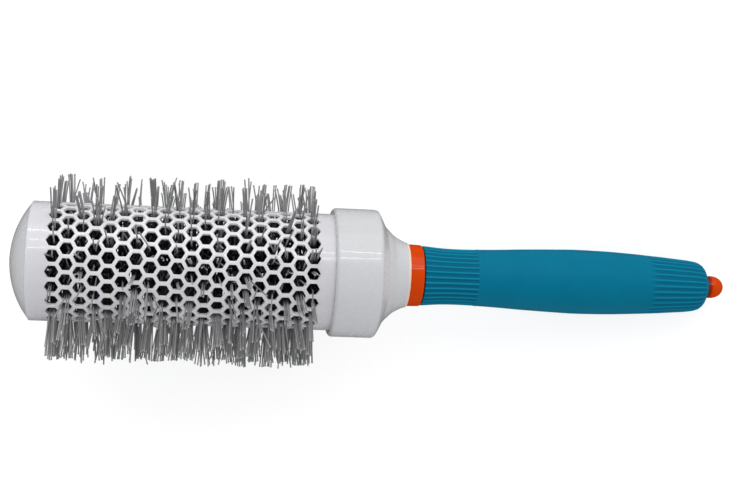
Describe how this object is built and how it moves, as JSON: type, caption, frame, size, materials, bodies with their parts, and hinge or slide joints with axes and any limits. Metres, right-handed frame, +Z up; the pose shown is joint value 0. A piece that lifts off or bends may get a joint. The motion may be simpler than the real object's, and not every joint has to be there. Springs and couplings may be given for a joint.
{
  "type": "round barrel brush",
  "caption": "Round hair brush with a perforated barrel, radial bristles, a collar, a fluted soft grip and a pull-out sectioning pick.",
  "frame": {"origin": "on the floor under the middle of the brush's bounding box, as it lies on its bristles and the end of its grip", "axes": "+Z up; +X along the floor from the domed nose to the handle end, so the brush's own axis falls 8.56 degrees below +X"},
  "size_m": [0.2776, 0.0676, 0.0807],
  "materials": {
    "barrel_coat": "gloss white ceramic coat",
    "white_plastic": "gloss white",
    "inner_plastic": "moulded",
    "core_wire": "drawn",
    "bristle": "satin grey nylon filament",
    "ferrule": "crimped",
    "orange_plastic": "gloss orange",
    "soft_grip": "matte teal soft-touch",
    "bush_plastic": "moulded",
    "grip_rubber": "matt black",
    "pick_steel": "polished"
  },
  "bodies": {
    "brush": {"barrel_tube": "barrel_coat", "front_cap": "white_plastic", "front_bush": "inner_plastic", "core_wire_a": "core_wire", "core_wire_b": "core_wire", "bristles_front": "bristle", "bristles_middle": "bristle", "bristles_rear": "bristle", "rear_hub": "inner_plastic", "wire_ferrule": "ferrule", "collar": "white_plastic", "trim_ring": "orange_plastic", "handle_core": "inner_plastic", "grip_sleeve": "soft_grip", "pick_bush": "bush_plastic", "pick_grip_ring": "grip_rubber"},
    "pick": {"pick_rod": "pick_steel", "pick_knob": "orange_plastic"}
  },
  "joints": [
    {"name": "pick_slide", "type": "slide", "parent": "brush", "child": "pick", "axis": [0.9889, 0, -0.1488], "range_m": [0, 0.07]}
  ]
}
